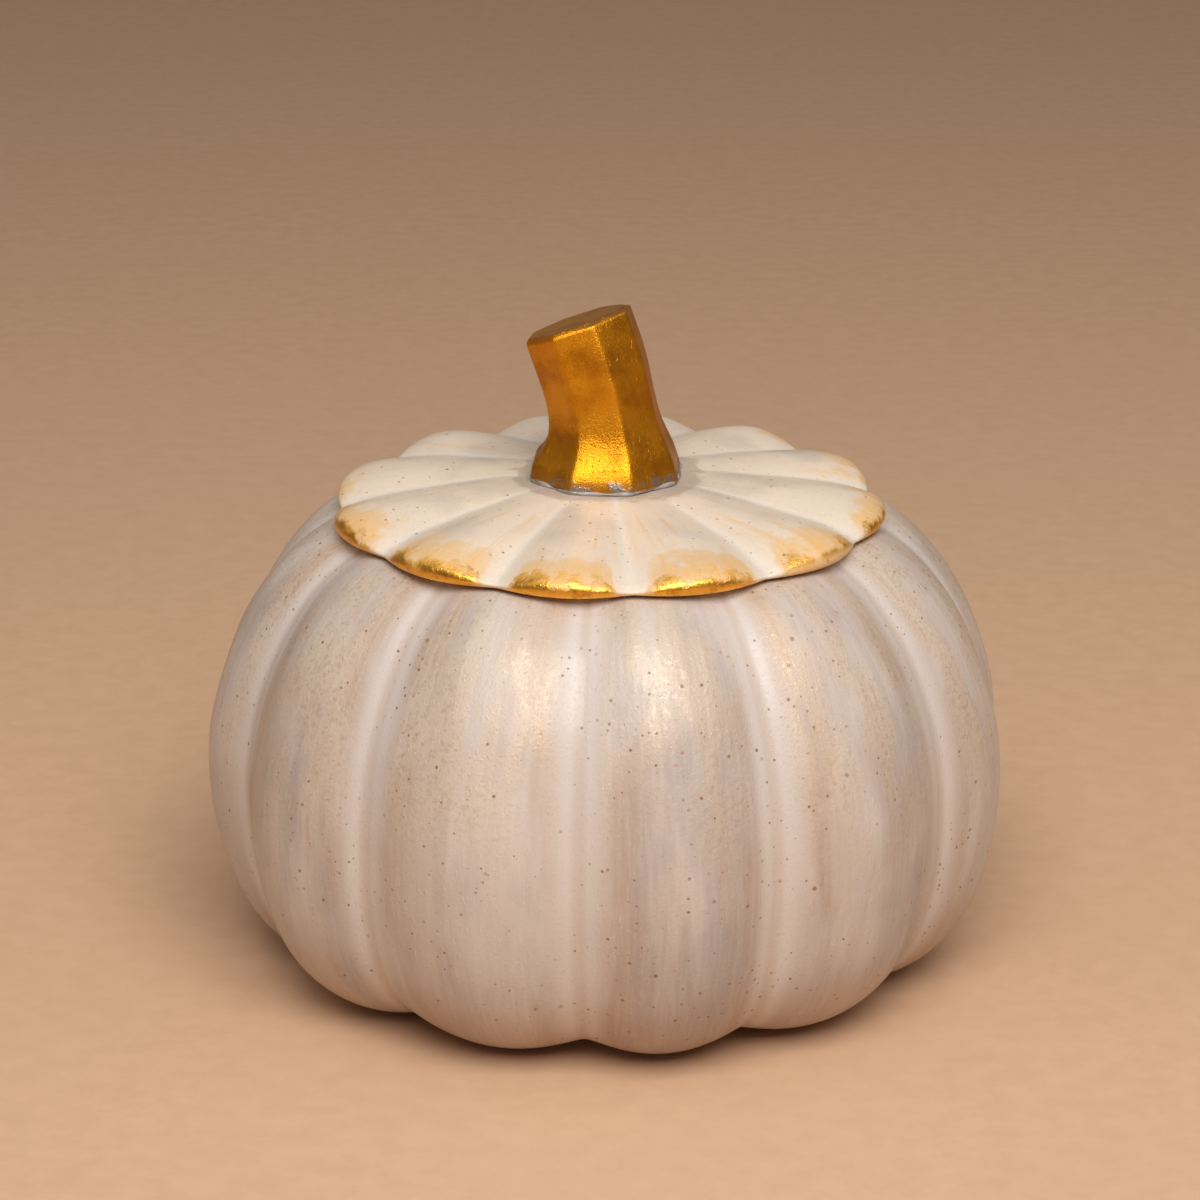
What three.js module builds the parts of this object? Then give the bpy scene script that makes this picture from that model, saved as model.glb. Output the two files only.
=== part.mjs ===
// A lidded ceramic jar in the shape of a pumpkin: a ribbed pot, a scalloped lid that drops
// into its mouth, and a faceted gold stem that is the lid's knob.
// Millimetres, +Z up. The origin is the middle of the flat foot. Azimuths are degrees round
// the axis, 0 towards -Y and 90 towards +X.

import * as THREE from 'three';

// Driving dimensions of the pot
const LOBE_RADIUS = 80;
const WAIST_HEIGHT = 42.6;
const FOOT_RADIUS = 50;
const FLAT_FOOT_RADIUS = 44;
const SHOULDER_RADIUS = 46;
const SHOULDER_HEIGHT = 91.7;
const SEAT_HEIGHT = 90.2;
const SEAT_EDGE_RADIUS = 51.5;
const SEAT_NOTCH = 2;
const MOUTH_RADIUS = 44;
const MOUTH_LIP = 4.6;
const WALL = 5.2;
const GROOVE_AZIMUTHS = [-67, -37, -4, 24.5, 57.5, 88, 117, 147, 176, 205, 235, 264];

// How deep the grooves between the lobes are, and how full the side curve is
const GROOVE_DEPTH = { foot: 2.8, waist: 4.4, seat: 1.6 };
const INNER_GROOVE_SHARE = 0.8;
const LOWER_CURVE = { rise: 0.95, reach: 0.8 };
const UPPER_CURVE = { rise: 1.14, reach: 1.03 };

// Driving dimensions of the lid
const REST_GAP = 0.3;
const RIM_RADIUS = 54.7;
const RIM_NOTCH = 2.4;
const LID_UNDERSIDE = SEAT_HEIGHT + REST_GAP;
const RING_OUTER_RADIUS = 42.2;
const RING_INNER_RADIUS = 38;
const RING_DEPTH = 5.6;
const RING_TAPER = 0.3;
const LID_CROWN = 98.3;
const LID_HOLLOW_TOP = 93.9;
const STEM_PAD_RADIUS = 16.2;
const VALLEY_AZIMUTHS = [5, 35, 65.5, 99, 129.5, 158, 183, 208, 237, 272, 305.5, 336.5];

// Driving dimensions of the stem
const STEM_SIDES = 8;
const STEM_TURN = -26.5;
const STEM_FOOT = LID_CROWN + REST_GAP;
const STEM_EDGE_ROUND = 0.9;

// Places across one lobe, from its left groove (-1) over its crest (0) to the next groove
const POT_COLUMNS = [-1, -0.82, -0.48, 0, 0.48, 0.82];
const LID_COLUMNS = [-1, -0.78, -0.42, 0, 0.42, 0.78];

// How softly a lobe turns into its grooves, and how full it is between them
const POT_LOBE = { softness: 0.12, fullness: 0.75 };
const LID_LOBE = { softness: 0.25, fullness: 0.8 };

const radians = THREE.MathUtils.degToRad;

// How far a lobe stands out of its grooves: 0 in a groove and 1 on the crest
function bulge(across, { softness, fullness }) {
  const arch = Math.cos((across * Math.PI) / 2);
  const lift = Math.hypot(arch, softness) - softness;
  return (lift / (Math.hypot(1, softness) - softness)) ** fullness;
}

// One entry for each column of points round the axis: its azimuth and its bulge
function lobedColumns(grooves, places, shape) {
  return grooves.flatMap((start, lobe) => {
    const next = lobe + 1 < grooves.length ? grooves[lobe + 1] : grooves[0] + 360;
    return places.map((across) => ({
      azimuth: radians(start + ((next - start) * (across + 1)) / 2),
      bulge: bulge(across, shape),
    }));
  });
}

function aroundAxis(radius, azimuth, height) {
  return new THREE.Vector3(radius * Math.sin(azimuth), -radius * Math.cos(azimuth), height);
}

// A ring of points, one for each column, from a function that gives its radius and height
function ring(columns, section) {
  return columns.map((column) => {
    const [radius, height] = section(column.bulge);
    return aroundAxis(radius, column.azimuth, height);
  });
}

// A closed body: a point on the axis, rings of points joined by triangles, and a last point.
// The rings lead out and up the outside, so that the faces point out.
function skinned(start, rings, end) {
  const columns = rings[0].length;
  const points = [start, ...rings.flat(), end];
  const lastPoint = points.length - 1;
  const at = (row, column) => 1 + row * columns + (column % columns);
  const index = [];
  for (let column = 0; column < columns; column += 1) {
    index.push(0, at(0, column + 1), at(0, column));
    for (let row = 0; row + 1 < rings.length; row += 1) {
      index.push(at(row, column), at(row, column + 1), at(row + 1, column + 1));
      index.push(at(row, column), at(row + 1, column + 1), at(row + 1, column));
    }
    const top = rings.length - 1;
    index.push(lastPoint, at(top, column), at(top, column + 1));
  }
  const geometry = new THREE.BufferGeometry().setFromPoints(points);
  geometry.setIndex(index);
  geometry.computeVertexNormals();
  return geometry;
}

// Heights of the pot's rings, as turns up the side outside and down it inside
const OUTER_TURNS = [-89, -82, -72, -60, -47, -33, -17, 0, 15, 29, 42, 54, 64, 71, 76];
const INNER_TURNS = [64, 52, 38, 20, 0, -18, -34, -48, -62];

// The pot's side over a lobe's crest. Turn runs from -90 at the foot over 0 at the waist
// to 90 at the shoulder.
function crestPoint(turn) {
  const sine = Math.abs(Math.sin(radians(turn)));
  const cosine = Math.cos(radians(turn));
  if (turn < 0) {
    const radius = FOOT_RADIUS + (LOBE_RADIUS - FOOT_RADIUS) * cosine ** LOWER_CURVE.reach;
    return new THREE.Vector2(radius, WAIST_HEIGHT * (1 - sine ** LOWER_CURVE.rise));
  }
  const radius = SHOULDER_RADIUS + (LOBE_RADIUS - SHOULDER_RADIUS) * cosine ** UPPER_CURVE.reach;
  const rise = (SHOULDER_HEIGHT - WAIST_HEIGHT) * sine ** UPPER_CURVE.rise;
  return new THREE.Vector2(radius, WAIST_HEIGHT + rise);
}

function crestNormal(turn) {
  const step = 0.5;
  const along = crestPoint(turn + step).sub(crestPoint(turn - step)).normalize();
  return new THREE.Vector2(along.y, -along.x);
}

function grooveDepth(turn) {
  const edge = turn < 0 ? GROOVE_DEPTH.foot : GROOVE_DEPTH.seat;
  return THREE.MathUtils.lerp(GROOVE_DEPTH.waist, edge, Math.abs(turn) / 90);
}

// The side curve of one column, set in from the crest by the groove and by the wall
function sideSection(turn, inset, grooveShare) {
  return (lobe) => {
    const depth = inset + grooveShare * grooveDepth(turn) * (1 - lobe);
    const point = crestPoint(turn).addScaledVector(crestNormal(turn), -depth);
    return [point.x, point.y];
  };
}

function potGeometry() {
  const columns = lobedColumns(GROOVE_AZIMUTHS, POT_COLUMNS, POT_LOBE);
  const lipUnderside = SEAT_HEIGHT - MOUTH_LIP;
  const rings = [
    ring(columns, () => [FLAT_FOOT_RADIUS, 0]),
    ...OUTER_TURNS.map((turn) => ring(columns, sideSection(turn, 0, 1))),
    ring(columns, (lobe) => [SEAT_EDGE_RADIUS - SEAT_NOTCH * (1 - lobe), SEAT_HEIGHT]),
    ring(columns, () => [MOUTH_RADIUS, SEAT_HEIGHT]),
    ring(columns, () => [MOUTH_RADIUS, lipUnderside]),
    ...INNER_TURNS.map((turn) => ring(columns, sideSection(turn, WALL, INNER_GROOVE_SHARE))),
    ring(columns, () => [FOOT_RADIUS, WALL]),
  ];
  return skinned(new THREE.Vector3(0, 0, 0), rings, new THREE.Vector3(0, 0, WALL));
}

// The round hollow under the lid, out from the axis: [radius, height]
const LID_HOLLOW = [[20, 93.7], [32, 92.9], [RING_INNER_RADIUS - 0.5, 91.9]];

// Lid sections from the rim to the stem: [radius, height] on a crest, and how far in and down
// from it a valley lies
const RIM_AND_TOP = [
  { crest: [RIM_RADIUS - 1.4, LID_UNDERSIDE], inward: RIM_NOTCH, down: 0 },
  { crest: [RIM_RADIUS - 0.1, LID_UNDERSIDE + 1.0], inward: RIM_NOTCH, down: 0.2 },
  { crest: [RIM_RADIUS - 0.2, LID_UNDERSIDE + 2.1], inward: RIM_NOTCH, down: 0.8 },
  { crest: [RIM_RADIUS - 1.6, LID_UNDERSIDE + 3.2], inward: RIM_NOTCH, down: 1.4 },
  { crest: [RIM_RADIUS - 5, LID_UNDERSIDE + 4.4], inward: 1.2, down: 2.0 },
  { crest: [43.5, LID_CROWN - 2.1], inward: 0, down: 1.8 },
  { crest: [35, LID_CROWN - 1.0], inward: 0, down: 1.3 },
  { crest: [25.5, LID_CROWN - 0.2], inward: 0, down: 0.7 },
  { crest: [18.5, LID_CROWN + 0.2], inward: 0, down: 0.2 },
  { crest: [STEM_PAD_RADIUS, LID_CROWN], inward: 0, down: 0 },
];

function lidGeometry() {
  const columns = lobedColumns(VALLEY_AZIMUTHS, LID_COLUMNS, LID_LOBE);
  const round = (radius, height) => ring(columns, () => [radius, height]);
  const ringFoot = LID_UNDERSIDE - RING_DEPTH;
  const rings = [
    ...LID_HOLLOW.map(([radius, height]) => round(radius, height)),
    round(RING_INNER_RADIUS, ringFoot),
    round(RING_OUTER_RADIUS - RING_TAPER, ringFoot),
    round(RING_OUTER_RADIUS, LID_UNDERSIDE),
    ...RIM_AND_TOP.map(({ crest, inward, down }) => ring(columns, (lobe) => {
      const hollow = 1 - lobe;
      return [crest[0] - inward * hollow, crest[1] - down * hollow];
    })),
  ];
  const under = new THREE.Vector3(0, 0, LID_HOLLOW_TOP);
  return skinned(under, rings, new THREE.Vector3(0, 0, LID_CROWN));
}

// The stem's middle line leans to the left and a little back, and its girth flares at the foot
const STEM_LINE = [
  [-0.4, 0, STEM_FOOT],
  [-0.2, 0, STEM_FOOT + 4.5],
  [-0.8, 0.2, STEM_FOOT + 11.5],
  [-2.3, 0.8, STEM_FOOT + 19.5],
  [-6.0, 2.3, STEM_FOOT + 30.2],
].map(([x, y, z]) => new THREE.Vector3(x, y, z));
const STEM_GIRTH = [
  [0, 15.5], [0.04, 15.5], [0.09, 15.0], [0.15, 14.0], [0.22, 12.8], [0.3, 11.8],
  [0.39, 11.2], [0.5, 11.0], [0.62, 11.1], [0.75, 11.2], [0.88, 11.2], [0.975, 11.2],
];

// One eight-sided section, square to the middle line, its first corner turned by STEM_TURN
function stemRing(line, along, radius) {
  const centre = line.getPointAt(along);
  const direction = along === 0 ? new THREE.Vector3(0, 0, 1) : line.getTangentAt(along);
  const right = new THREE.Vector3(0, 1, 0).cross(direction).normalize();
  const back = direction.clone().cross(right).normalize();
  return Array.from({ length: STEM_SIDES }, (_, side) => {
    const azimuth = radians(STEM_TURN + (360 / STEM_SIDES) * side);
    const offset = aroundAxis(radius, azimuth, 0);
    return centre.clone().addScaledVector(right, offset.x).addScaledVector(back, offset.y);
  });
}

function stemGeometry() {
  const line = new THREE.CatmullRomCurve3(STEM_LINE);
  const [, topGirth] = STEM_GIRTH.at(-1);
  const rings = STEM_GIRTH.map(([along, radius]) => stemRing(line, along, radius));
  rings.push(stemRing(line, 1, topGirth - STEM_EDGE_ROUND));
  return skinned(line.getPoint(0), rings, line.getPoint(1));
}

// Finishes: a satin white wash on the pot and the lid, and antique gold on the stem
const POT_FINISH = { color: 0xe2d9ce, roughness: 0.42, metalness: 0 };
const LID_FINISH = { color: 0xe8dccb, roughness: 0.4, metalness: 0 };
const STEM_FINISH = { color: 0xc98a12, roughness: 0.32, metalness: 0.9 };

function piece(name, geometry, finish) {
  const mesh = new THREE.Mesh(geometry, new THREE.MeshStandardMaterial(finish));
  mesh.name = name;
  return mesh;
}

const jar = new THREE.Group();
jar.add(piece('pot', potGeometry(), POT_FINISH));
jar.add(piece('lid', lidGeometry(), LID_FINISH));
jar.add(piece('stem', stemGeometry(), STEM_FINISH));

export default jar;
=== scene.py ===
"""A lidded ceramic jar in the shape of a pumpkin: a ribbed pot under a brushed pearl wash, a
scalloped lid with a worn gilt edge, and a faceted gold stem for a knob. Metres, +Z up."""

import math
import random

import bpy
import numpy as np
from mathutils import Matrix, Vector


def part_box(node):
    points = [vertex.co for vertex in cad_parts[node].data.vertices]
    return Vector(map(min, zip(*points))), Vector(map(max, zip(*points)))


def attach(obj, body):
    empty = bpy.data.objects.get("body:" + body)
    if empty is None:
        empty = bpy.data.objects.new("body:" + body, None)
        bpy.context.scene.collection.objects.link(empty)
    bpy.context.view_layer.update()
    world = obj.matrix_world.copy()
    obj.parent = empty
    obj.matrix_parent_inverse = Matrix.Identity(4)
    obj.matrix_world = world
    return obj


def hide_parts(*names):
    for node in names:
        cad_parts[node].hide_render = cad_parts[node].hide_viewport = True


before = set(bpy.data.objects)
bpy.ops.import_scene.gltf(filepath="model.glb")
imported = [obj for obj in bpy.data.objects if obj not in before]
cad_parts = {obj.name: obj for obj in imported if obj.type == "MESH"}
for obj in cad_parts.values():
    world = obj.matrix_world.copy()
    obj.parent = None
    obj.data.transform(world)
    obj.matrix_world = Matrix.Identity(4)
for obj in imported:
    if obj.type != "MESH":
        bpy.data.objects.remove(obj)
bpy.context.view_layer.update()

MM = 0.001

# The camera of the photograph, fitted to its 1200 px square frame
CAMERA_PLACE = (0.0, -0.748456, 0.332725)
CAMERA_PITCH = 0.335
CAMERA_YAW = 0.002
CAMERA_LENS = 120.0
SENSOR_WIDTH = 36.0

# Pot, in millimetres: the side curve over a lobe's crest, the mouth and the wall
LOBE_RADIUS = 80.0
WAIST_HEIGHT = 42.6
FOOT_RADIUS = 50.0
FLAT_FOOT_RADIUS = 44.0
MIDDLE_RING = 30.0
SHOULDER_RADIUS = 46.0
SHOULDER_HEIGHT = 91.7
SEAT_HEIGHT = 90.2
SEAT_EDGE_RADIUS = 51.5
SEAT_NOTCH = 2.0
MOUTH_RADIUS = 44.0
MOUTH_LIP = 4.6
MOUTH_ROUND = {"out": 0.7, "down": 0.6}
WALL = 5.2
POT_GROOVES = (-67, -37, -4, 24.5, 57.5, 88, 117, 147, 176, 205, 235, 264)
GROOVE_DEPTH = {"foot": 2.8, "waist": 4.4, "seat": 1.6}
INNER_GROOVE_SHARE = 0.8
LOWER_CURVE = {"rise": 0.95, "reach": 0.8}
UPPER_CURVE = {"rise": 1.14, "reach": 1.03}
OUTER_TURNS = (-89, -82, -72, -60, -47, -33, -17, 0, 15, 29, 42, 54, 64, 71, 76)
INNER_TURNS = (64, 52, 38, 20, 0, -18, -34, -48, -62)
POT_LOBE = {"softness": 0.17, "fullness": 0.86}

# Lid, in millimetres: rows are the radius and height on a rib's crest, and how far in and
# down from there a valley lies
LID_VALLEYS = (5, 35, 65.5, 99, 129.5, 158, 183, 208, 237, 272, 305.5, 336.5)
LID_RIM_ROWS = (
    (53.3, 90.5, 2.4, 0.0), (54.5, 91.2, 2.4, 0.2), (54.7, 92.7, 2.4, 1.0),
    (54.0, 94.2, 2.4, 2.0), (51.3, 95.7, 1.4, 2.8), (44.6, 96.9, 0.0, 2.4),
    (35.0, 97.7, 0.0, 1.6), (25.5, 98.2, 0.0, 0.8), (18.5, 98.5, 0.0, 0.2),
    (16.2, 98.3, 0.0, 0.0), (8.0, 98.3, 0.0, 0.0),
)
LID_UNDER_ROWS = (
    (8.0, 93.9, 0.0, 0.0), (20.0, 93.7, 0.0, 0.0), (32.0, 92.9, 0.0, 0.0),
    (37.2, 92.0, 0.0, 0.0), (37.7, 88.5, 0.0, 0.0), (38.0, 85.2, 0.0, 0.0),
    (38.5, 84.9, 0.0, 0.0), (41.4, 84.9, 0.0, 0.0), (41.9, 85.3, 0.0, 0.0),
    (42.1, 89.8, 0.0, 0.0), (42.7, 90.5, 0.0, 0.0),
)
LID_LOBE = {"softness": 0.13, "fullness": 0.9}

# How much gold each rib's edge still carries, from the front rib round to the right
RIB_GILDING = (0.95, 0.85, 0.6, 0.5, 0.45, 0.3, 0.2, 0.2, 0.3, 0.75, 1.0, 1.0)

# The right front rib has lost the gold of its lowest edge
BARE_EDGED_RIB = 1

# Stem and the glue below it, in millimetres and degrees
RIDGE_ROUND = 0.55
RIDGE_STEPS = 3
SHARP_RIDGE = 30.0
PLINTH_EDGE = (1.0, 1.6)
STEM_FOOT_RADIUS = 15.5
STEM_SIDES = 8
STEM_TURN = -26.5
GLUE_RADIUS = 0.36
GLUE_SHIFT = -0.4
GLUE_LIFT = 0.1
MERGE_DISTANCE = 0.01

# How steeply the stem's skin faces up where its cap begins and where it is all cap
CAP_FACING = (0.75, 0.90)

# The unevenness of hand work, in millimetres: how wide its humps are, and how high
HAND_WORK = {
    "Thumbed clay": {"size": 24.0, "height": 1.0},
    "Thumbed lid": {"size": 16.0, "height": 0.7},
    "Cast skin": {"size": 6.0, "height": 0.16},
    "Squeezed glue": {"size": 4.5, "height": 1.2},
}

# Heights on the pot where the unevenness begins above the foot and ends below the seat, and
# how far in from the lid's rim it is all there
FOOT_TO_CLAY = (2.0, 10.0)
SEAT_TO_CLAY = (87.0, 82.0)
RIM_TO_CLAY = 6.0

COLUMNS = 120
LATHE_LEVELS = 2
STEM_LEVELS = 2
GLUE_LEVELS = 1
TONE_SEED = 11


# Shapes


def only(piece):
    """Selects one object and makes it the active one."""
    bpy.ops.object.select_all(action="DESELECT")
    piece.select_set(True)
    bpy.context.view_layer.objects.active = piece


def apply_modifier(piece, kind, **settings):
    only(piece)
    modifier = piece.modifiers.new(kind.title(), kind)
    for name, value in settings.items():
        setattr(modifier, name, value)
    bpy.ops.object.modifier_apply(modifier=modifier.name)


def soften(piece, levels):
    apply_modifier(piece, "SUBSURF", levels=levels, render_levels=levels)


def crest_point(turn):
    """Radius and height of the pot's side over a crest, from -90 at the foot to 90."""
    sine = abs(math.sin(math.radians(turn)))
    cosine = math.cos(math.radians(turn))
    if turn < 0:
        radius = FOOT_RADIUS + (LOBE_RADIUS - FOOT_RADIUS) * cosine ** LOWER_CURVE["reach"]
        return radius, WAIST_HEIGHT * (1 - sine ** LOWER_CURVE["rise"])
    radius = SHOULDER_RADIUS + (LOBE_RADIUS - SHOULDER_RADIUS) * cosine ** UPPER_CURVE["reach"]
    return radius, WAIST_HEIGHT + (SHOULDER_HEIGHT - WAIST_HEIGHT) * sine ** UPPER_CURVE["rise"]


def side_row(turn, inset=0.0, groove_share=1.0):
    """A row of the pot's side: its place on a crest, and how far in and down a groove is."""
    (r0, z0), (r1, z1) = crest_point(turn - 0.5), crest_point(turn + 0.5)
    length = math.hypot(r1 - r0, z1 - z0)
    out, up = (z1 - z0) / length, (r0 - r1) / length
    edge = GROOVE_DEPTH["foot"] if turn < 0 else GROOVE_DEPTH["seat"]
    depth = GROOVE_DEPTH["waist"] + (edge - GROOVE_DEPTH["waist"]) * abs(turn) / 90
    depth *= groove_share
    radius, height = crest_point(turn)
    return radius - inset * out, height - inset * up, depth * out, depth * up


def drawn_up(name, rows):
    """A round closed body, drawn ring by ring from one circle along its rows."""
    points = [(radius * MM, height * MM) for radius, height, _, _ in rows]
    bpy.ops.object.select_all(action="DESELECT")
    first_radius, first_height = points[0]
    bpy.ops.mesh.primitive_circle_add(vertices=COLUMNS, radius=first_radius)
    piece = bpy.context.object
    piece.name = piece.data.name = name
    bpy.ops.object.mode_set(mode="EDIT")
    bpy.ops.mesh.select_all(action="SELECT")
    bpy.ops.transform.translate(value=(0, 0, first_height))
    bpy.ops.mesh.extrude_edges_move()
    bpy.ops.mesh.merge(type="CENTER")
    bpy.ops.mesh.select_all(action="DESELECT")
    bpy.ops.mesh.select_non_manifold(extend=False)
    for (radius, height), (next_radius, next_height) in zip(points, points[1:]):
        rise = next_height - height
        bpy.ops.mesh.extrude_edges_move(TRANSFORM_OT_translate={"value": (0, 0, rise)})
        ratio = next_radius / radius
        centre = (0, 0, next_height)
        bpy.ops.transform.resize(value=(ratio, ratio, 1), center_override=centre)
    bpy.ops.mesh.extrude_edges_move()
    bpy.ops.mesh.merge(type="CENTER")
    bpy.ops.mesh.select_all(action="SELECT")
    bpy.ops.mesh.normals_make_consistent(inside=False)
    bpy.ops.object.mode_set(mode="OBJECT")
    bpy.ops.object.shade_smooth()
    return piece


def places_of(piece):
    places = np.empty(len(piece.data.vertices) * 3)
    piece.data.vertices.foreach_get("co", places)
    return places.reshape(-1, 3)


def keep_value(piece, name, values):
    """Stores one number for each vertex, for the finish to read."""
    layer = piece.data.attributes.new(name, "FLOAT", "POINT")
    layer.data.foreach_set("value", values.astype(np.float32))


def distance_along(places, rows):
    """How far along the rows' line each vertex lies, in millimetres, and each row itself."""
    line = np.array([(radius, height) for radius, height, _, _ in rows])
    steps = np.diff(line, axis=0)
    lengths = np.hypot(*steps.T)
    reached = np.concatenate(([0], np.cumsum(lengths)))
    spot = np.stack((np.hypot(places[:, 0], places[:, 1]), places[:, 2]), axis=1) / MM
    nearest = np.full(len(spot), np.inf)
    along = np.zeros(len(spot))
    for start, step, length, before in zip(line, steps, lengths, reached):
        share = np.clip((spot - start) @ step / length ** 2, 0, 1)
        gap = np.hypot(*(spot - start - share[:, None] * step).T)
        closer = gap < nearest
        nearest[closer] = gap[closer]
        along[closer] = before + share[closer] * length
    return along, reached


def lobes_round(places, grooves, softness, fullness):
    """Which lobe each vertex is on, and how far out of the grooves it stands, 0 to 1."""
    starts = np.array(grooves, float)
    azimuth = np.degrees(np.arctan2(places[:, 0], -places[:, 1]))
    azimuth = (azimuth - starts[0]) % 360 + starts[0]
    lobe = np.searchsorted(starts, azimuth, side="right") - 1
    widths = np.diff(np.append(starts, starts[0] + 360))
    across = 2 * (azimuth - starts[lobe]) / widths[lobe] - 1
    arch = np.cos(across * np.pi / 2)
    lift = np.hypot(arch, softness) - softness
    full = math.hypot(1, softness) - softness
    return lobe, (lift / full) ** fullness


def press_grooves(piece, rows, grooves, shape):
    """Presses the grooves into a round body and keeps what the finish needs to know."""
    places = places_of(piece)
    along, reached = distance_along(places, rows)
    lobe, bulge = lobes_round(places, grooves, **shape)
    inward = np.interp(along, reached, [row[2] for row in rows]) * (1 - bulge) * MM
    down = np.interp(along, reached, [row[3] for row in rows]) * (1 - bulge) * MM
    radius = np.maximum(np.hypot(places[:, 0], places[:, 1]), MM)
    places[:, :2] *= ((radius - inward) / radius)[:, None]
    places[:, 2] -= down
    piece.data.vertices.foreach_set("co", places.ravel())
    piece.data.update()
    keep_value(piece, "bulge", bulge)
    keep_value(piece, "along", along * MM)
    return lobe, along


def fade(values, start, end):
    """0 at the start and 1 at the end, and level beyond them. The end may be the lower."""
    return np.clip((values - start) / (end - start), 0, 1)


def uneven(piece, name, free=None):
    """Gives a surface the slight unevenness of hand work, where it is free to have it."""
    texture = bpy.data.textures.new(name, "CLOUDS")
    texture.noise_scale = HAND_WORK[name]["size"] * MM
    texture.noise_depth = 1
    strength = HAND_WORK[name]["height"] * MM
    settings = {"texture": texture, "strength": strength, "mid_level": 0.5}
    if free is not None:
        group = piece.vertex_groups.new(name="Free")
        for index, weight in enumerate(free):
            group.add([index], float(weight), "REPLACE")
        settings["vertex_group"] = "Free"
    apply_modifier(piece, "DISPLACE", **settings)


def make_pot():
    lip_underside = SEAT_HEIGHT - MOUTH_LIP
    rows = [(MIDDLE_RING, 0.0, 0.0, 0.0), (FLAT_FOOT_RADIUS, 0.0, 0.0, 0.0)]
    rows += [side_row(turn) for turn in OUTER_TURNS]
    rows += [
        (SEAT_EDGE_RADIUS, SEAT_HEIGHT, SEAT_NOTCH, 0.0),
        (MOUTH_RADIUS + MOUTH_ROUND["out"], SEAT_HEIGHT, 0.0, 0.0),
        (MOUTH_RADIUS, SEAT_HEIGHT - MOUTH_ROUND["down"], 0.0, 0.0),
        (MOUTH_RADIUS, lip_underside, 0.0, 0.0),
    ]
    rows += [side_row(turn, WALL, INNER_GROOVE_SHARE) for turn in INNER_TURNS]
    rows += [(FOOT_RADIUS, WALL, 0.0, 0.0), (MIDDLE_RING, WALL, 0.0, 0.0)]
    piece = drawn_up("pot_body", rows)
    soften(piece, LATHE_LEVELS)
    lobe, _ = press_grooves(piece, rows, POT_GROOVES, POT_LOBE)
    chance = random.Random(TONE_SEED)
    tones = np.array([chance.random() for _ in POT_GROOVES])
    keep_value(piece, "tone", tones[lobe])
    height = places_of(piece)[:, 2] / MM
    uneven(piece, "Thumbed clay", fade(height, *FOOT_TO_CLAY) * fade(height, *SEAT_TO_CLAY))
    return piece


def make_lid():
    rows = list(LID_UNDER_ROWS) + list(LID_RIM_ROWS)
    piece = drawn_up("lid_shell", rows)
    soften(piece, LATHE_LEVELS)
    lobe, along = press_grooves(piece, rows, LID_VALLEYS, LID_LOBE)
    _, reached = distance_along(np.zeros((1, 3)), rows)
    rim = reached[len(LID_UNDER_ROWS)]
    keep_value(piece, "gilding", np.array(RIB_GILDING)[lobe])
    keep_value(piece, "bare_edge", (lobe == BARE_EDGED_RIB).astype(float))
    keep_value(piece, "from_rim", (along - rim) * MM)
    uneven(piece, "Thumbed lid", fade(along, rim, rim + RIM_TO_CLAY))
    return piece


def make_stem():
    """The knob: its solid's own facets, with rounded ridges and a cast, uneven skin."""
    sharpness = math.radians(SHARP_RIDGE)
    piece = bpy.data.objects.new("stem_knob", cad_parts["stem"].data.copy())
    bpy.context.scene.collection.objects.link(piece)
    piece.data.materials.clear()
    only(piece)
    bpy.ops.object.mode_set(mode="EDIT")
    bpy.ops.mesh.select_all(action="SELECT")
    bpy.ops.mesh.remove_doubles(threshold=MERGE_DISTANCE * MM)
    bpy.ops.mesh.tris_convert_to_quads(face_threshold=0.6, shape_threshold=1.2)
    bpy.ops.mesh.select_all(action="DESELECT")
    bpy.ops.mesh.select_mode(type="EDGE")
    bpy.ops.mesh.edges_select_sharp(sharpness=sharpness)
    bpy.ops.transform.edge_crease(value=1.0)
    bpy.ops.object.mode_set(mode="OBJECT")
    low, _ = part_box("stem")
    heights = places_of(piece)[:, 2] - low.z
    creases = piece.data.attributes["crease_edge"].data
    lowest, highest = PLINTH_EDGE
    for edge in piece.data.edges:
        if all(lowest * MM < heights[corner] < highest * MM for corner in edge.vertices):
            creases[edge.index].value = 1.0
    soften(piece, STEM_LEVELS)
    bpy.ops.object.mode_set(mode="EDIT")
    bpy.ops.mesh.select_all(action="DESELECT")
    bpy.ops.mesh.edges_select_sharp(sharpness=sharpness)
    bpy.ops.mesh.bevel(offset=RIDGE_ROUND * MM, segments=RIDGE_STEPS, profile=0.5,
                       affect="EDGES")
    bpy.ops.mesh.select_all(action="SELECT")
    bpy.ops.mesh.subdivide(number_cuts=1)
    bpy.ops.object.mode_set(mode="OBJECT")
    bpy.ops.object.shade_smooth()
    uneven(piece, "Cast skin")
    facing = np.empty(len(piece.data.vertices) * 3)
    piece.data.vertices.foreach_get("normal", facing)
    keep_value(piece, "cap", fade(facing[2::3], *CAP_FACING))
    return piece


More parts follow.
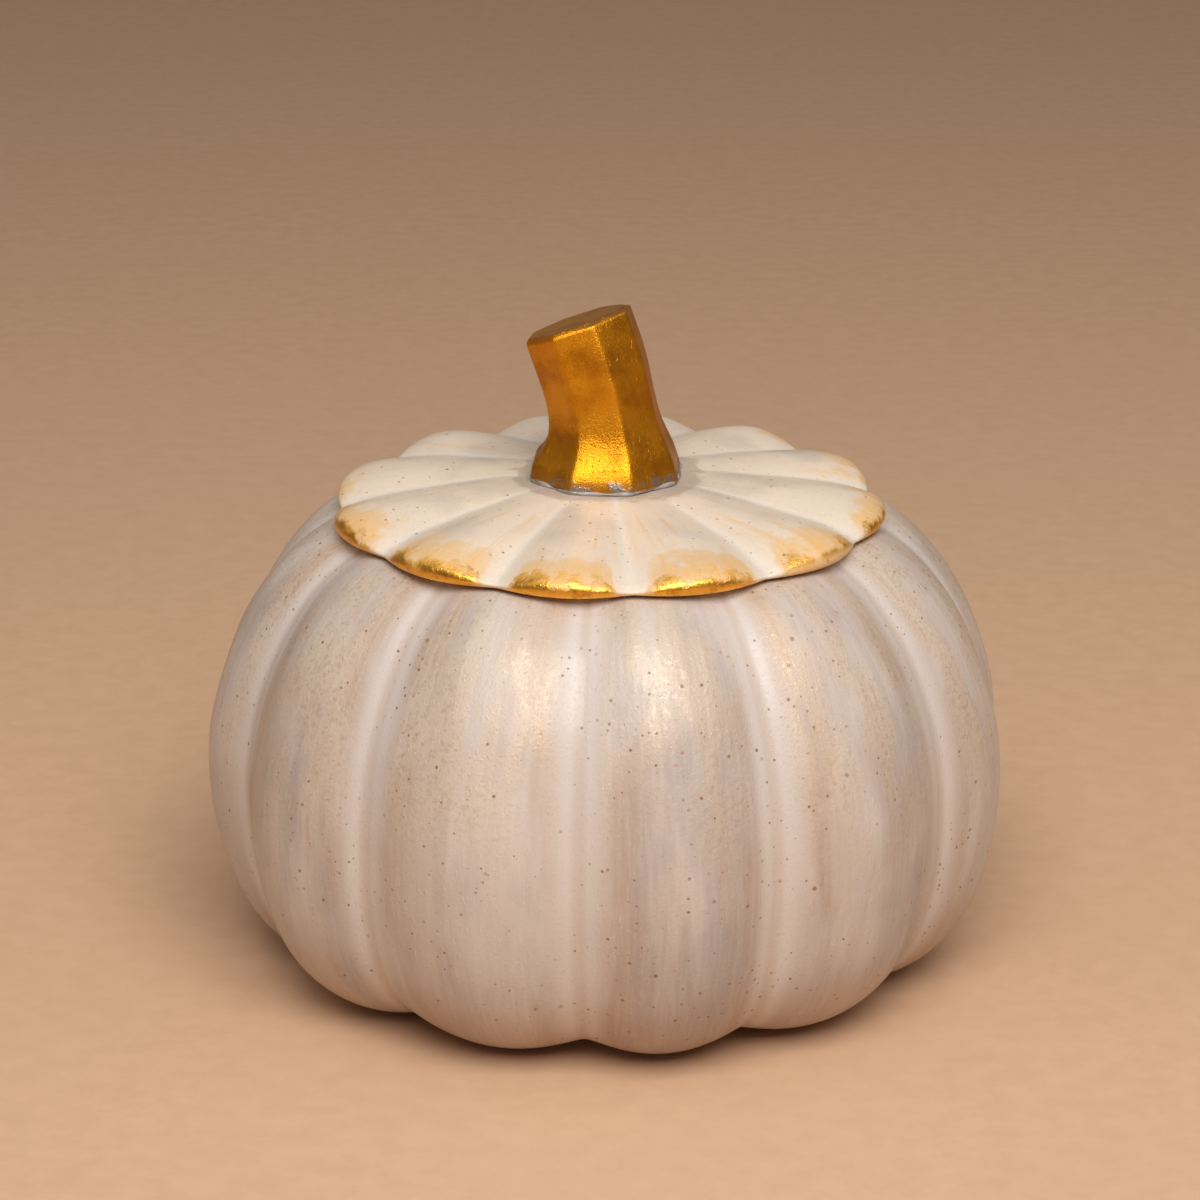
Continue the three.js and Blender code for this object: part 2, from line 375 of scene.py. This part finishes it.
def make_glue_line():
    """The glossy bead that squeezed out round the stem's foot."""
    bpy.ops.object.select_all(action="DESELECT")
    low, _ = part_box("stem")
    turn = math.radians(STEM_TURN) - math.pi / 2
    bpy.ops.mesh.primitive_circle_add(vertices=STEM_SIDES, radius=STEM_FOOT_RADIUS * MM)
    piece = bpy.context.object
    piece.name = piece.data.name = "glue_line"
    bpy.ops.object.mode_set(mode="EDIT")
    bpy.ops.mesh.select_all(action="SELECT")
    bpy.ops.transform.rotate(value=-turn, orient_axis="Z", center_override=(0, 0, 0))
    bpy.ops.transform.translate(value=(GLUE_SHIFT * MM, 0, low.z + GLUE_LIFT * MM))
    bpy.ops.mesh.subdivide(number_cuts=10)
    bpy.ops.mesh.vertices_smooth(factor=0.5, repeat=2)
    bpy.ops.object.mode_set(mode="OBJECT")
    bpy.ops.object.convert(target="CURVE")
    piece.data.bevel_depth = GLUE_RADIUS * MM
    piece.data.bevel_resolution = 3
    bpy.ops.object.convert(target="MESH")
    piece = bpy.context.object
    bpy.ops.object.shade_smooth()
    soften(piece, GLUE_LEVELS)
    uneven(piece, "Squeezed glue")
    return piece


# Finishes


def add_node(tree, kind, sockets=None, **settings):
    made = tree.nodes.new(kind)
    for name, value in settings.items():
        setattr(made, name, value)
    for name, value in (sockets or {}).items():
        if isinstance(value, bpy.types.NodeSocket):
            tree.links.new(value, made.inputs[name])
        else:
            made.inputs[name].default_value = value
    return made


def combine(tree, operation, first, second, clamp=False):
    made = add_node(tree, "ShaderNodeMath", {0: first, 1: second}, operation=operation)
    made.use_clamp = clamp
    return made.outputs[0]


def times(tree, *values):
    result = values[0]
    for value in values[1:]:
        result = combine(tree, "MULTIPLY", result, value)
    return result


def plus(tree, *values):
    result = values[0]
    for value in values[1:]:
        result = combine(tree, "ADD", result, value)
    return result


def weighted(tree, *pairs, base=0.0):
    """The sum of some values, each times its own weight, and of a base."""
    return plus(tree, *(times(tree, value, weight) for value, weight in pairs), base)


def less(tree, first, second):
    return combine(tree, "SUBTRACT", first, second, clamp=True)


def between(tree, value, low, high, to_low=0.0, to_high=1.0):
    """A smooth step of value from low to high. Low may be the larger of the two."""
    sockets = {"Value": value, "From Min": low, "From Max": high}
    sockets.update({"To Min": to_low, "To Max": to_high})
    if low > high:
        sockets.update({"From Min": high, "From Max": low, "To Min": to_high, "To Max": to_low})
    made = add_node(tree, "ShaderNodeMapRange", sockets, interpolation_type="SMOOTHSTEP")
    return made.outputs["Result"]


def blend(tree, share, first, second):
    """Two colours mixed: inputs 6 and 7 and output 2 are a Mix node's colour sockets."""
    sockets = {0: share, 6: first, 7: second}
    return add_node(tree, "ShaderNodeMix", sockets, data_type="RGBA").outputs[2]


def layer(tree, under, over, *masks, amount=1.0):
    """Lays one colour over another where the masks are, at most by the amount."""
    return blend(tree, times(tree, *masks, amount), under, over)


def attribute(tree, name):
    return add_node(tree, "ShaderNodeAttribute", attribute_name=name).outputs["Fac"]


def object_places(tree):
    return add_node(tree, "ShaderNodeTexCoord").outputs["Object"]


def height_in(tree, places):
    return add_node(tree, "ShaderNodeSeparateXYZ", {0: places}).outputs[2]


def flat_places(tree):
    """Places brought down to the floor: how far from the jar's axis, and on which side."""
    sockets = {0: object_places(tree), 1: (1, 1, 0)}
    return add_node(tree, "ShaderNodeVectorMath", sockets, operation="MULTIPLY").outputs[0]


def cloud(tree, vector, scale, detail=3.0, roughness=0.55, distortion=0.0):
    sockets = {"Vector": vector, "Scale": scale, "Detail": detail}
    sockets.update({"Roughness": roughness, "Distortion": distortion})
    return add_node(tree, "ShaderNodeTexNoise", sockets).outputs[0]


def centred(tree, value):
    """A cloud's value about nought."""
    return combine(tree, "SUBTRACT", value, 0.5)


def new_group(name, inputs, outputs):
    tree = bpy.data.node_groups.new(name, "ShaderNodeTree")
    for title, value in inputs.items():
        socket = tree.interface.new_socket(title, in_out="INPUT", socket_type="NodeSocketFloat")
        socket.default_value = value
    for title in outputs:
        kind = "NodeSocketVector" if title == "Vector" else "NodeSocketFloat"
        tree.interface.new_socket(title, in_out="OUTPUT", socket_type=kind)
    entry = tree.nodes.new("NodeGroupInput")
    leave = tree.nodes.new("NodeGroupOutput")
    return tree, entry.outputs, leave.inputs


def use_group(tree, group, **values):
    made = tree.nodes.new("ShaderNodeGroup")
    made.node_tree = group
    for name, value in values.items():
        title = name.replace("_", " ")
        if isinstance(value, bpy.types.NodeSocket):
            tree.links.new(value, made.inputs[title])
        else:
            made.inputs[title].default_value = value
    return made.outputs


def meridian_flow():
    """Places that run with the ribs: far apart across them and close together along them."""
    inputs = {"Across scale": 100.0, "Along scale": 15.0, "Shift": 0.0}
    tree, given, out = new_group("Meridian flow", inputs, ["Vector"])
    facing = add_node(tree, "ShaderNodeVectorMath", {0: flat_places(tree)},
                      operation="NORMALIZE").outputs[0]
    turned = add_node(tree, "ShaderNodeVectorMath", {0: facing}, operation="SCALE")
    typical_radius = 70 * MM
    tree.links.new(times(tree, given["Across scale"], typical_radius), turned.inputs["Scale"])
    parts = add_node(tree, "ShaderNodeSeparateXYZ", {0: turned.outputs[0]}).outputs
    rise = plus(tree, times(tree, attribute(tree, "along"), given["Along scale"]), given["Shift"])
    joined = add_node(tree, "ShaderNodeCombineXYZ", {"X": parts[0], "Y": parts[1], "Z": rise})
    tree.links.new(joined.outputs[0], out["Vector"])
    return tree


def brush_streaks(flow):
    """Streaks of a dry brush along the ribs, as a mask from 0 to 1."""
    inputs = {"Width scale": 300.0, "Length scale": 18.0, "Shift": 0.0, "Low": 0.4, "High": 0.6}
    tree, given, out = new_group("Brush streaks", inputs, ["Mask"])
    vector = use_group(tree, flow, Across_scale=given["Width scale"],
                       Along_scale=given["Length scale"], Shift=given["Shift"])["Vector"]
    drawn = cloud(tree, vector, 1.0, 4.0, 0.55, 0.25)
    made = add_node(tree, "ShaderNodeMapRange", {"Value": drawn, "From Min": given["Low"],
                    "From Max": given["High"]}, interpolation_type="SMOOTHSTEP")
    tree.links.new(made.outputs["Result"], out["Mask"])
    return tree


def brushed(tree, streaks, width, length, low, high, shift=0.0):
    """One set of streaks: the larger width and length are, the finer and shorter they get."""
    values = {"Width_scale": width, "Length_scale": length, "Shift": shift}
    return use_group(tree, streaks, Low=low, High=high, **values)["Mask"]


def pin_specks():
    """Small round specks in the glaze, each of its own size, in looser and denser crowds."""
    inputs = {"Scale": 450.0, "Size": 0.3, "Share": 0.3, "Shift": 0.0}
    tree, given, out = new_group("Pin specks", inputs, ["Mask", "Warmth"])
    places = object_places(tree)
    shifted = add_node(tree, "ShaderNodeVectorMath", {0: places}, operation="ADD")
    offset = add_node(tree, "ShaderNodeCombineXYZ", {"X": given["Shift"], "Z": given["Shift"]})
    tree.links.new(offset.outputs[0], shifted.inputs[1])
    sockets = {"Vector": shifted.outputs[0], "Scale": given["Scale"]}
    cells = add_node(tree, "ShaderNodeTexVoronoi", sockets).outputs
    chances = add_node(tree, "ShaderNodeSeparateColor", {0: cells["Color"]}).outputs
    own_size = weighted(tree, (times(tree, chances[1], chances[1]), 0.75), base=0.25)
    reach = times(tree, given["Size"], own_size)
    wobble = cloud(tree, places, 2600.0, 2.0)
    edge = plus(tree, cells["Distance"], times(tree, wobble, 0.08), -0.04)
    inside = between(tree, less(tree, reach, edge), 0.0, 0.08)
    crowd = between(tree, cloud(tree, places, 38.0, 3.0), 0.36, 0.64, 0.35, 1.6)
    kept = combine(tree, "LESS_THAN", chances[0], times(tree, given["Share"], crowd))
    strength = weighted(tree, (chances[2], -0.55), base=1.0)
    tree.links.new(times(tree, inside, kept, strength), out["Mask"])
    tree.links.new(chances[2], out["Warmth"])
    return tree


def glaze_skin():
    """The fine relief of a brushed satin glaze: orange peel and little slanting dashes."""
    inputs = {"Peel": 0.5, "Dashes": 0.4}
    tree, given, out = new_group("Glaze skin", inputs, ["Height", "Dashes"])
    places = object_places(tree)
    peel = cloud(tree, places, 1400.0, 2.0, 0.5)
    slant = {"Vector": places, "Rotation": (0.15, 0.75, 0.1), "Scale": (2100, 2100, 520)}
    slanted = add_node(tree, "ShaderNodeMapping", slant)
    strokes = cloud(tree, slanted.outputs[0], 1.0, 2.0)
    dashes = between(tree, strokes, 0.56, 0.74)
    height = plus(tree, times(tree, peel, given["Peel"]), times(tree, dashes, given["Dashes"]))
    tree.links.new(height, out["Height"])
    tree.links.new(dashes, out["Dashes"])
    return tree


def new_material(name, viewport_colour):
    material = bpy.data.materials.new(name)
    material.use_nodes = True
    material.diffuse_color = viewport_colour
    return material, material.node_tree, material.node_tree.nodes["Principled BSDF"]


def put(tree, shader, title, value):
    if isinstance(value, bpy.types.NodeSocket):
        tree.links.new(value, shader.inputs[title])
    else:
        shader.inputs[title].default_value = value


def bumped(tree, height, strength, distance):
    sockets = {"Height": height, "Strength": strength, "Distance": distance}
    return add_node(tree, "ShaderNodeBump", sockets).outputs["Normal"]


# Colours of the glazes, the gold and the glue
WASH = (0.60, 0.525, 0.48, 1)
WHITE_AND_HIGHLIGHT = (0.74, 0.685, 0.65, 1)
LILAC_GREY = (0.37, 0.325, 0.32, 1)
TAN = (0.43, 0.28, 0.18, 1)
DUST = (0.38, 0.28, 0.225, 1)
SPECK_BROWN = (0.25, 0.11, 0.03, 1)
SPECK_OCHRE = (0.44, 0.20, 0.05, 1)
CHAMPAGNE = (0.88, 0.66, 0.40, 1)
BARE_CLAY = (0.60, 0.50, 0.40, 1)
IVORY = (0.77, 0.655, 0.53, 1)
VALLEY_HIGHLIGHT = (0.80, 0.735, 0.66, 1)
OCHRE = (0.78, 0.445, 0.13, 1)
FRINGE_BROWN = (0.15, 0.065, 0.018, 1)
GILT = (0.95, 0.50, 0.075, 1)
GILT_SHADE = (0.66, 0.29, 0.03, 1)
THIN_GILT = (0.84, 0.455, 0.095, 1)
GOLD_BRIGHT = (0.78, 0.325, 0.016, 1)
GOLD_DEEP = (0.54, 0.20, 0.010, 1)
DULL_GOLD_AND_SHADE = (0.33, 0.16, 0.035, 1)
CAP_BROWN = (0.50, 0.27, 0.11, 1)
GOLD_NICK = (0.07, 0.03, 0.008, 1)
SILVER_SMEAR = (0.36, 0.33, 0.31, 1)
GLUE_SHADE = (0.32, 0.26, 0.205, 1)


def pot_glaze(streaks, specks, skin):
    """A pale wash brushed with grey, tan and dust, with pearl on the upper side, painted shade
    low down, on the flanks and in the creases, and a painted highlight in the grooves.
    """
    material, tree, shader = new_material("Brushed pearl glaze", WASH)
    places = object_places(tree)
    bulge = attribute(tree, "bulge")
    tone = attribute(tree, "tone")
    height = height_in(tree, places)
    on_lobe = between(tree, bulge, 0.12, 0.55)
    groove = between(tree, bulge, 0.36, 0.10)
    crease_shade = between(tree, bulge, 0.10, 0.0)
    drift = cloud(tree, places, 34.0, 4.0, 0.55)
    broad = brushed(tree, streaks, width=85.0, length=17.0, low=0.36, high=0.66)
    fine = brushed(tree, streaks, width=430.0, length=24.0, low=0.34, high=0.70, shift=3.0)
    hairs = brushed(tree, streaks, width=1300.0, length=75.0, low=0.42, high=0.66, shift=7.0)
    warm = brushed(tree, streaks, width=120.0, length=22.0, low=0.40, high=0.64, shift=12.0)
    pearl = brushed(tree, streaks, width=150.0, length=40.0, low=0.34, high=0.62, shift=21.0)
    drips = brushed(tree, streaks, width=520.0, length=70.0, low=0.66, high=0.76, shift=31.0)
    dusty = brushed(tree, streaks, width=48.0, length=24.0, low=0.44, high=0.66, shift=52.0)

    # The washes, from the first to the last, with painted shade and a painted highlight among
    # them
    grey = weighted(tree, (broad, 0.50), (fine, 0.10), (tone, 0.25), (drift, 1.2), base=-0.86)
    grey = between(tree, grey, 0.0, 0.70)
    colour = layer(tree, WASH, LILAC_GREY, grey, on_lobe, amount=0.78)
    # The tan streaks are a real wash, laid more thickly towards the grooves as painted shade on
    # the lobes' flanks
    shaded_flank = times(tree, on_lobe, between(tree, bulge, 1.0, 0.6, 0.35, 1.0))
    tan = weighted(tree, (fine, 0.14), (drift, 0.5), base=0.28)
    colour = layer(tree, colour, TAN, warm, shaded_flank, tan, amount=0.78)
    colour = layer(tree, colour, SPECK_OCHRE, drips, on_lobe, amount=0.45)
    # Painted shade: tan darkens the pot towards the bottom, standing in for the shade and warm
    # floor bounce there
    shaded_low_down = between(tree, height, 26 * MM, 1 * MM)
    colour = layer(tree, colour, TAN, shaded_low_down, amount=0.52)
    colour = layer(tree, colour, DUST, dusty, on_lobe, amount=0.42)
    colour = layer(tree, colour, WHITE_AND_HIGHLIGHT, hairs, on_lobe, amount=0.12)
    # Painted highlight: the grooves are whitened where the light's reflection runs down them
    colour = layer(tree, colour, WHITE_AND_HIGHLIGHT, groove, amount=0.25)
    # Painted shade: tan darkens the very bottom of each crease
    colour = layer(tree, colour, TAN, crease_shade, amount=0.26)
    finish = use_group(tree, skin, Peel=0.55, Dashes=0.45)
    colour = layer(tree, colour, WHITE_AND_HIGHLIGHT, finish["Dashes"], on_lobe, amount=0.18)
    upper = between(tree, height, 30 * MM, 64 * MM)
    pearl = times(tree, pearl, upper, on_lobe)
    colour = layer(tree, colour, CHAMPAGNE, pearl, amount=0.24)

    # Specks of two sizes, and the foot wiped down to the bare clay
    small = use_group(tree, specks, Scale=820.0, Size=0.34, Share=0.36)
    large = use_group(tree, specks, Scale=210.0, Size=0.15, Share=0.28, Shift=0.4)
    marks = combine(tree, "MAXIMUM", small["Mask"], large["Mask"])
    rust = blend(tree, between(tree, small["Warmth"], 0.3, 0.8), SPECK_BROWN, SPECK_OCHRE)
    colour = layer(tree, colour, rust, marks, amount=0.85)
    from_axis = add_node(tree, "ShaderNodeVectorMath", {0: flat_places(tree)},
                         operation="LENGTH").outputs["Value"]
    wiped = plus(tree, from_axis, times(tree, drift, 3.0 * MM))
    underfoot = times(tree, between(tree, height, 0.5 * MM, 0.2 * MM),
                      between(tree, wiped, 48.4 * MM, 47.6 * MM))
    colour = blend(tree, underfoot, colour, BARE_CLAY)
    put(tree, shader, "Base Color", colour)

    # Flakes of mica glint in the pearl, and the grooves have kept more of their gloss
    flakes = add_node(tree, "ShaderNodeTexVoronoi", {"Vector": places, "Scale": 1500.0})
    glint = add_node(tree, "ShaderNodeSeparateColor", {0: flakes.outputs["Color"]}).outputs[0]
    mica = between(tree, glint, 0.6, 0.95)
    put(tree, shader, "Metallic", times(tree, pearl, weighted(tree, (mica, 0.22), base=0.13)))
    rough = weighted(tree, (fine, 0.06), (groove, -0.10), (marks, 0.2), (underfoot, 0.4),
                     base=0.44)
    put(tree, shader, "Roughness", rough)
    put(tree, shader, "Specular IOR Level", 0.35)
    gloss = weighted(tree, (groove, 0.09), base=0.13)
    put(tree, shader, "Coat Weight", less(tree, gloss, underfoot))
    put(tree, shader, "Coat Roughness", 0.17)
    relief = plus(tree, finish["Height"], times(tree, fine, on_lobe, 0.3),
                  times(tree, marks, -0.6), times(tree, glint, pearl))
    put(tree, shader, "Normal", bumped(tree, relief, strength=0.6, distance=0.16 * MM))
    return material


def lid_glaze(streaks, specks, skin):
    """Ivory with rusty stains, under gold that has worn back towards the rim."""
    material, tree, shader = new_material("Ivory glaze with gilt edge", IVORY)
    places = object_places(tree)
    bulge = attribute(tree, "bulge")
    gilding = attribute(tree, "gilding")
    from_rim = attribute(tree, "from_rim")
    on_rib = between(tree, bulge, 0.02, 0.55)
    valley = between(tree, bulge, 0.30, 0.03)
    ragged = centred(tree, cloud(tree, places, 190.0, 5.0, 0.52))
    worn = cloud(tree, places, 620.0, 4.0, 0.62)
    soft = cloud(tree, places, 60.0, 3.0, 0.5)
    stains = brushed(tree, streaks, width=420.0, length=45.0, low=0.52, high=0.74, shift=5.0)
    drags = brushed(tree, streaks, width=600.0, length=80.0, low=0.36, high=0.64, shift=15.0)

    # The glaze and its stains, and a painted highlight in the valleys
    colour = layer(tree, IVORY, OCHRE, stains, on_rib, amount=0.46)
    colour = layer(tree, colour, LILAC_GREY, between(tree, soft, 0.46, 0.7), amount=0.34)
    # Painted highlight: the valleys are whitened where the light's reflection lies in them
    colour = layer(tree, colour, VALLEY_HIGHLIGHT, valley, amount=0.5)
    finish = use_group(tree, skin, Peel=0.6, Dashes=0.35)
    colour = layer(tree, colour, OCHRE, finish["Dashes"], amount=0.24)

    # A thin wash of gold that reaches furthest in, dragged along by the brush
    wash_reach = weighted(tree, (gilding, 9.5 * MM), base=8.0 * MM)
    wash_shore = plus(tree, times(tree, on_rib, wash_reach), times(tree, ragged, 26.0 * MM),
                      -2.0 * MM)
    wash_depth = combine(tree, "SUBTRACT", wash_shore, from_rim)
    towards_rim = between(tree, from_rim, 18 * MM, 3 * MM, 0.40, 0.95)
    patchy = weighted(tree, (drags, 0.25), (worn, 0.7), base=0.40)
    wash = times(tree, between(tree, wash_depth, -1.5 * MM, 4.0 * MM), on_rib, towards_rim,
                 patchy)
    colour = layer(tree, colour, OCHRE, wash, between(tree, gilding, 0.0, 0.7, 0.35, 0.92))

    # The gold itself, with a brown fringe along its worn edge
    gold_shore = plus(tree, times(tree, on_rib, gilding, 7.4 * MM),
                      times(tree, ragged, 13.0 * MM), -1.0 * MM)
    gold_depth = combine(tree, "SUBTRACT", gold_shore, from_rim)
    grains = times(tree, centred(tree, worn), 7.0 * MM)
    gold = between(tree, plus(tree, gold_depth, grains), -1.0 * MM, 2.6 * MM)
    fringe = times(tree, between(tree, gold_depth, -1.5 * MM, -0.2 * MM),
                   less(tree, 1.0, gold), between(tree, worn, 0.42, 0.58),
                   between(tree, bulge, 0.95, 0.5), on_rib)
    colour = layer(tree, colour, FRINGE_BROWN, fringe, amount=0.85)

    # A shade of glue round the stem, and the specks
    near_stem = plus(tree, from_rim, times(tree, ragged, 10.0 * MM))
    glue_stain = between(tree, near_stem, 39.9 * MM, 41.6 * MM)
    colour = layer(tree, colour, GLUE_SHADE, glue_stain, amount=0.5)
    small = use_group(tree, specks, Scale=820.0, Size=0.32, Share=0.26, Shift=0.2)["Mask"]
    large = use_group(tree, specks, Scale=330.0, Size=0.22, Share=0.7, Shift=0.7)["Mask"]
    colour = layer(tree, colour, SPECK_BROWN, small, amount=0.85)
    colour = layer(tree, colour, OCHRE, large, amount=0.65)

    # Thick gold rolls over the rim, and thins out to a warm film further in
    gilt = blend(tree, between(tree, worn, 0.30, 0.52), GILT_SHADE, GILT)
    rolled_over = plus(tree, from_rim, times(tree, ragged, -9.0 * MM))
    thick = between(tree, rolled_over, 6.5 * MM, 3.0 * MM)
    gilt = blend(tree, thick, THIN_GILT, gilt)
    above_underside = between(tree, from_rim, -0.8 * MM, 0.2 * MM)
    lowest = times(tree, between(tree, from_rim, 3.0 * MM, 1.6 * MM),
                   between(tree, gilding, 0.4, 0.8), 0.75)
    bare = times(tree, attribute(tree, "bare_edge"),
                 between(tree, from_rim, 4.5 * MM, 2.6 * MM))
    gold = combine(tree, "MAXIMUM", times(tree, gold, on_rib), lowest)
    gold = times(tree, gold, above_underside, less(tree, 1.0, bare))
    put(tree, shader, "Base Color", blend(tree, gold, colour, gilt))

    put(tree, shader, "Metallic", times(tree, gold, weighted(tree, (thick, 0.85), base=0.15)))
    rough = weighted(tree, (gold, -0.12), (fringe, 0.15), (worn, 0.10), (valley, -0.06),
                     base=0.40)
    put(tree, shader, "Roughness", rough)
    put(tree, shader, "Coat Weight", times(tree, less(tree, 1.0, gold), 0.25))
    put(tree, shader, "Coat Roughness", 0.22)
    relief = plus(tree, finish["Height"], times(tree, gold, 0.5), times(tree, gold, worn, 0.9),
                  times(tree, fringe, -0.3))
    put(tree, shader, "Normal", bumped(tree, relief, strength=0.6, distance=0.2 * MM))
    return material


def stem_gold(specks):
    """Mottled gold paint with scratches and nicks, and a smear of glue at its foot."""
    material, tree, shader = new_material("Antique gold", GOLD_BRIGHT)
    places = object_places(tree)
    low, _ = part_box("stem")
    above_foot = combine(tree, "SUBTRACT", height_in(tree, places), low.z)
    cap = attribute(tree, "cap")
    mottled = cloud(tree, places, 170.0, 6.0, 0.6)
    grain = cloud(tree, places, 3000.0, 3.0, 0.6)
    slant = {"Vector": places, "Rotation": (0.2, 0.5, 0.0), "Scale": (1500, 1500, 110)}
    drawn = add_node(tree, "ShaderNodeMapping", slant).outputs[0]
    scratches = between(tree, cloud(tree, drawn, 1.0, 2.0), 0.62, 0.72)
    nicks = use_group(tree, specks, Scale=260.0, Size=0.15, Share=0.35, Shift=0.9)["Mask"]
    # The plinth below the flare: duller gold paint, darkened as painted shade for its recess
    # under the flare
    plinth_band_and_shade = times(tree, between(tree, above_foot, 0.35 * MM, 0.7 * MM),
                 between(tree, above_foot, 2.6 * MM, 1.9 * MM))
    smear = cloud(tree, places, 210.0, 4.0, 0.6)
    smear = times(tree, between(tree, smear, 0.48, 0.58),
                  between(tree, above_foot, 3.0 * MM, 1.4 * MM))
    colour = blend(tree, between(tree, mottled, 0.30, 0.60), GOLD_DEEP, GOLD_BRIGHT)
    colour = layer(tree, colour, GOLD_DEEP, scratches, amount=0.25)
    colour = layer(tree, colour, GOLD_NICK, nicks, amount=0.8)
    colour = layer(tree, colour, DULL_GOLD_AND_SHADE, plinth_band_and_shade, amount=0.5)
    colour = layer(tree, colour, CAP_BROWN, cap, amount=0.5)
    put(tree, shader, "Base Color", blend(tree, smear, colour, SILVER_SMEAR))
    put(tree, shader, "Metallic", less(tree, 1.0, times(tree, nicks, 0.7)))
    rough = weighted(tree, (mottled, 0.10), (plinth_band_and_shade, 0.14), (scratches, 0.12), (cap, 0.12),
                     (smear, -0.15), base=0.33)
    put(tree, shader, "Roughness", rough)
    relief = plus(tree, grain, times(tree, mottled, 0.4), times(tree, scratches, -0.4),
                  times(tree, nicks, -1.2), times(tree, smear, 0.8))
    put(tree, shader, "Normal", bumped(tree, relief, strength=0.6, distance=0.18 * MM))
    return material


def glue_gloss():
    """Clear glue that has picked up silver dust and shade in patches."""
    material, tree, shader = new_material("Clear glue", SILVER_SMEAR)
    places = object_places(tree)
    patch = cloud(tree, places, 230.0, 3.0)
    colour = blend(tree, between(tree, patch, 0.40, 0.56), SILVER_SMEAR, GLUE_SHADE)
    put(tree, shader, "Base Color", colour)
    put(tree, shader, "Metallic", between(tree, patch, 0.45, 0.60, 0.0, 0.6))
    put(tree, shader, "Roughness", between(tree, patch, 0.3, 0.7, 0.14, 0.4))
    ripples = cloud(tree, places, 900.0, 3.0)
    put(tree, shader, "Normal", bumped(tree, ripples, strength=0.5, distance=0.2 * MM))
    return material


def finish_with(piece, material):
    piece.data.materials.clear()
    piece.data.materials.append(material)


# Studio


FLOOR_SIZE = 16.0
PAPER = (0.64, 0.41, 0.255, 1)
PAPER_FIBRE = (0.68, 0.44, 0.28, 1)
PAPER_PREVIEW = (0.74, 0.56, 0.42, 1)
AIR = (1.0, 0.86, 0.76, 1)
AIR_STRENGTH = 0.20
NEAREST_SEEN = 0.01

# Each soft light's direction round the jar and up in degrees, its distance and size in
# metres and its power in watts, all aimed at this height of the jar
AIM_HEIGHT = 0.05
LIGHTS = (
    {"name": "Key", "azimuth": 7, "elevation": 50, "distance": 1.1, "size": (0.85, 0.66),
     "power": 12.3, "colour": (1.0, 0.98, 0.95)},
    {"name": "Left fill", "azimuth": -80, "elevation": 58, "distance": 1.4,
     "size": (0.7, 0.9), "power": 1.2, "colour": (1.0, 0.96, 0.92)},
    {"name": "Right fill", "azimuth": 82, "elevation": 58, "distance": 1.4,
     "size": (0.7, 0.9), "power": 1.5, "colour": (1.0, 0.96, 0.92)},
)


def add_camera():
    camera = bpy.data.objects.new("Camera", bpy.data.cameras.new("Camera"))
    camera.location = CAMERA_PLACE
    camera.rotation_euler = (math.pi / 2 - CAMERA_PITCH, 0, CAMERA_YAW)
    camera.data.lens = CAMERA_LENS
    camera.data.sensor_width = SENSOR_WIDTH
    camera.data.clip_start = NEAREST_SEEN
    bpy.context.scene.collection.objects.link(camera)
    bpy.context.scene.camera = camera


def add_floor():
    bpy.ops.object.select_all(action="DESELECT")
    bpy.ops.mesh.primitive_plane_add(size=FLOOR_SIZE)
    floor = bpy.context.object
    floor.name = "Floor"
    material, tree, shader = new_material("Pale warm paper", PAPER_PREVIEW)
    fibre = cloud(tree, object_places(tree), 160.0, 4.0, 0.6)
    colour = blend(tree, between(tree, fibre, 0.3, 0.7), PAPER, PAPER_FIBRE)
    put(tree, shader, "Base Color", colour)
    put(tree, shader, "Roughness", 0.85)
    finish_with(floor, material)


def soft_box(name, azimuth, elevation, distance, size, power, colour):
    """A soft rectangular light that looks at the jar."""
    light = bpy.data.lights.new(name, "AREA")
    light.shape = "RECTANGLE"
    light.size, light.size_y = size
    light.energy = power
    light.color = colour
    lamp = bpy.data.objects.new(name, light)
    turn, lift = math.radians(azimuth), math.radians(elevation)
    lamp.location = (distance * math.sin(turn) * math.cos(lift),
                     -distance * math.cos(turn) * math.cos(lift),
                     AIM_HEIGHT + distance * math.sin(lift))
    lamp.rotation_euler = (math.pi / 2 - lift, 0, turn)
    bpy.context.scene.collection.objects.link(lamp)


def light_studio():
    world = bpy.data.worlds.new("Studio")
    world.use_nodes = True
    background = world.node_tree.nodes["Background"]
    background.inputs["Color"].default_value = AIR
    background.inputs["Strength"].default_value = AIR_STRENGTH
    bpy.context.scene.world = world
    bpy.context.scene.view_settings.view_transform = "Standard"
    for light in LIGHTS:
        soft_box(**light)


# The jar


def place(piece, slot, *nodes):
    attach(piece, "root")
    if nodes:
        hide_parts(*nodes)


add_camera()
add_floor()
light_studio()

streaks = brush_streaks(meridian_flow())
specks = pin_specks()
skin = glaze_skin()

pot = make_pot()
finish_with(pot, pot_glaze(streaks, specks, skin))
place(pot, "pot_glaze", "pot")

lid = make_lid()
finish_with(lid, lid_glaze(streaks, specks, skin))
place(lid, "lid_glaze", "lid")

stem = make_stem()
finish_with(stem, stem_gold(specks))
place(stem, "stem_gold", "stem")

glue = make_glue_line()
finish_with(glue, glue_gloss())
place(glue, "stem_gold")
